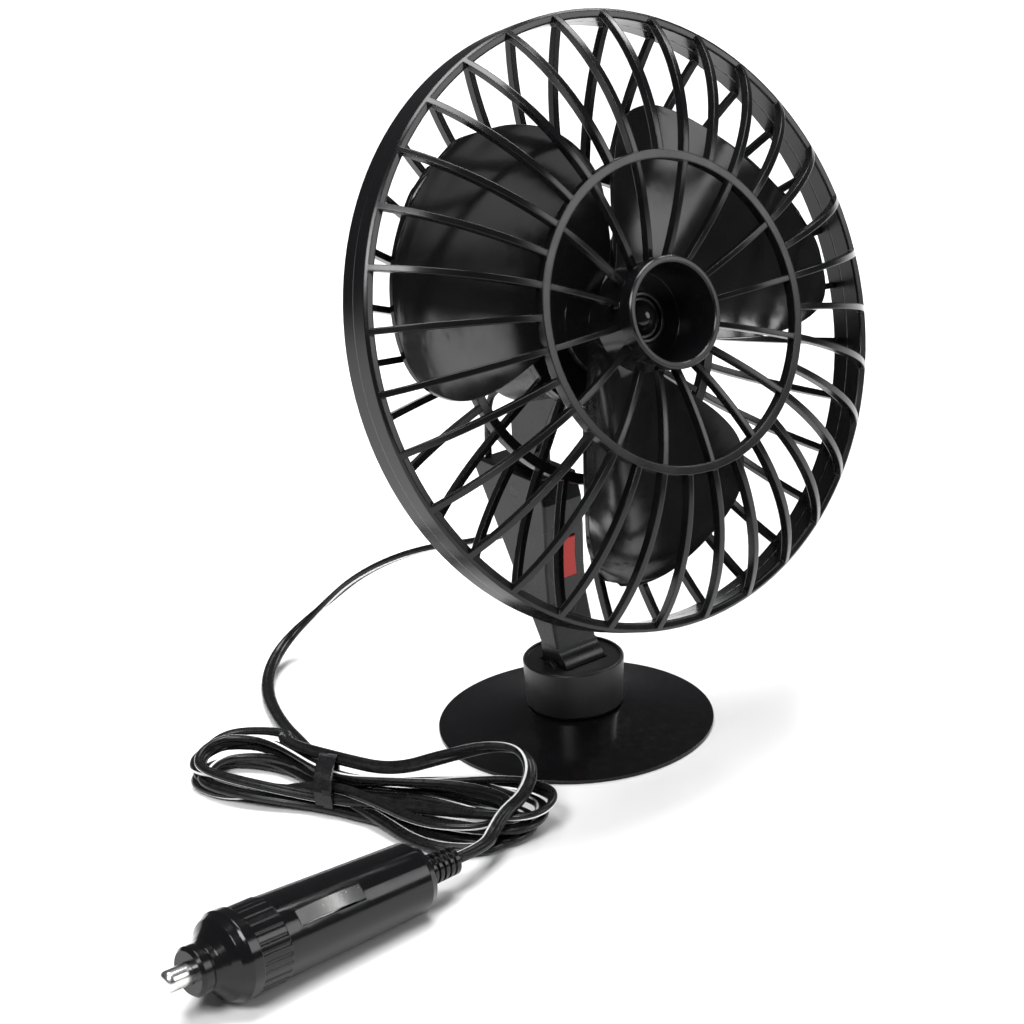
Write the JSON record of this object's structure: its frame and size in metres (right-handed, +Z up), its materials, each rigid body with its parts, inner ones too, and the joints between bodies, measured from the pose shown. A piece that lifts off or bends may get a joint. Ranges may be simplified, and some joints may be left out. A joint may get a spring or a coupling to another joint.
{
  "type": "car fan",
  "caption": "Small caged electric fan on a tilting stem with a suction-cup foot, a flat twin cord and a 12 V lighter plug.",
  "frame": {"origin": "middle of the footprint on the surface the suction cup stands on, cord and plug left out", "axes": "-Y the way the fan faces, +Z up, X along the tilt hinges"},
  "size_m": [0.2302, 0.1486, 0.1829],
  "materials": {
    "grille_plastic": "gloss",
    "blade_plastic": "gloss",
    "body_plastic": "satin",
    "panel_plastic": "satin",
    "collar_plastic": "satin",
    "cup_vinyl": "gloss",
    "switch_red": "satin",
    "hidden_plastic": "matte",
    "pin_plastic": "gloss",
    "cord_vinyl": "satin",
    "cord_tracer": "matte",
    "plug_plastic": "gloss",
    "contact_metal": "polished",
    "steel": "brushed",
    "ferrite": "matte",
    "bronze": "satin"
  },
  "bodies": {
    "stem": {"stem_body": "body_plastic", "stem_panel": "panel_plastic", "switch_case": "hidden_plastic", "switch_terminal_upper": "bronze", "switch_terminal_lower": "bronze", "supply_lead": "cord_vinyl", "head_pin": "pin_plastic", "cord_gland": "cord_vinyl", "cord_lead": "cord_vinyl", "cord_hank": "cord_vinyl", "cord_tie": "cord_vinyl", "cord_tail": "cord_vinyl", "plug_strain_relief": "plug_plastic", "plug_body": "plug_plastic", "plug_nose_cap": "plug_plastic", "plug_spring": "steel", "plug_contact_left": "contact_metal", "plug_contact_right": "contact_metal"},
    "head": {"front_grille": "grille_plastic", "hub_button": "grille_plastic", "rear_grille": "grille_plastic", "motor_housing": "body_plastic", "motor_can": "steel", "motor_magnets": "ferrite", "bearing_front": "bronze", "bearing_rear": "bronze", "motor_end_cap": "hidden_plastic", "motor_terminal_left": "bronze", "motor_terminal_right": "bronze", "motor_screw_left": "steel", "motor_screw_right": "steel", "motor_lead": "cord_vinyl"},
    "spinner": {"impeller": "blade_plastic", "impeller_cap": "blade_plastic", "motor_shaft": "steel", "motor_rotor": "steel"},
    "rocker": {"switch_rocker": "switch_red"},
    "base": {"collar": "collar_plastic", "foot_pin": "pin_plastic"},
    "cup": {"suction_cup": "cup_vinyl", "cup_stud": "hidden_plastic"},
    "plug_pin": {"plug_tip_pin": "contact_metal", "plug_fuse": "contact_metal"}
  },
  "joints": [
    {"name": "head_tilt", "type": "hinge", "parent": "stem", "child": "head", "pos_m": [0, 0.0246, 0.0615], "axis": [1, 0, 0], "range_deg": [-20, 20], "deforming": ["motor_lead"]},
    {"name": "impeller_spin", "type": "hinge", "parent": "head", "child": "spinner", "pos_m": [0, -0.0164, 0.114], "axis": [0, -0.9455, 0.3256], "continuous": true},
    {"name": "switch_rock", "type": "hinge", "parent": "stem", "child": "rocker", "pos_m": [0, 0.0138, 0.0452], "axis": [1, 0, 0], "range_deg": [-6, 6]},
    {"name": "stem_tilt", "type": "hinge", "parent": "stem", "child": "base", "pos_m": [0, 0.0116, 0.017], "axis": [1, 0, 0], "range_deg": [-20, 20]},
    {"name": "collar_turn", "type": "hinge", "parent": "base", "child": "cup", "pos_m": [0, 0.0116, 0.006], "axis": [0, 0, 1], "continuous": true},
    {"name": "tip_press", "type": "slide", "parent": "stem", "child": "plug_pin", "axis": [0.9962, 0.0749, -0.0436], "range_m": [0, 0.003], "stiffness_N_per_m": 600, "springref_m": -0.002, "deforming": ["plug_spring"]}
  ]
}
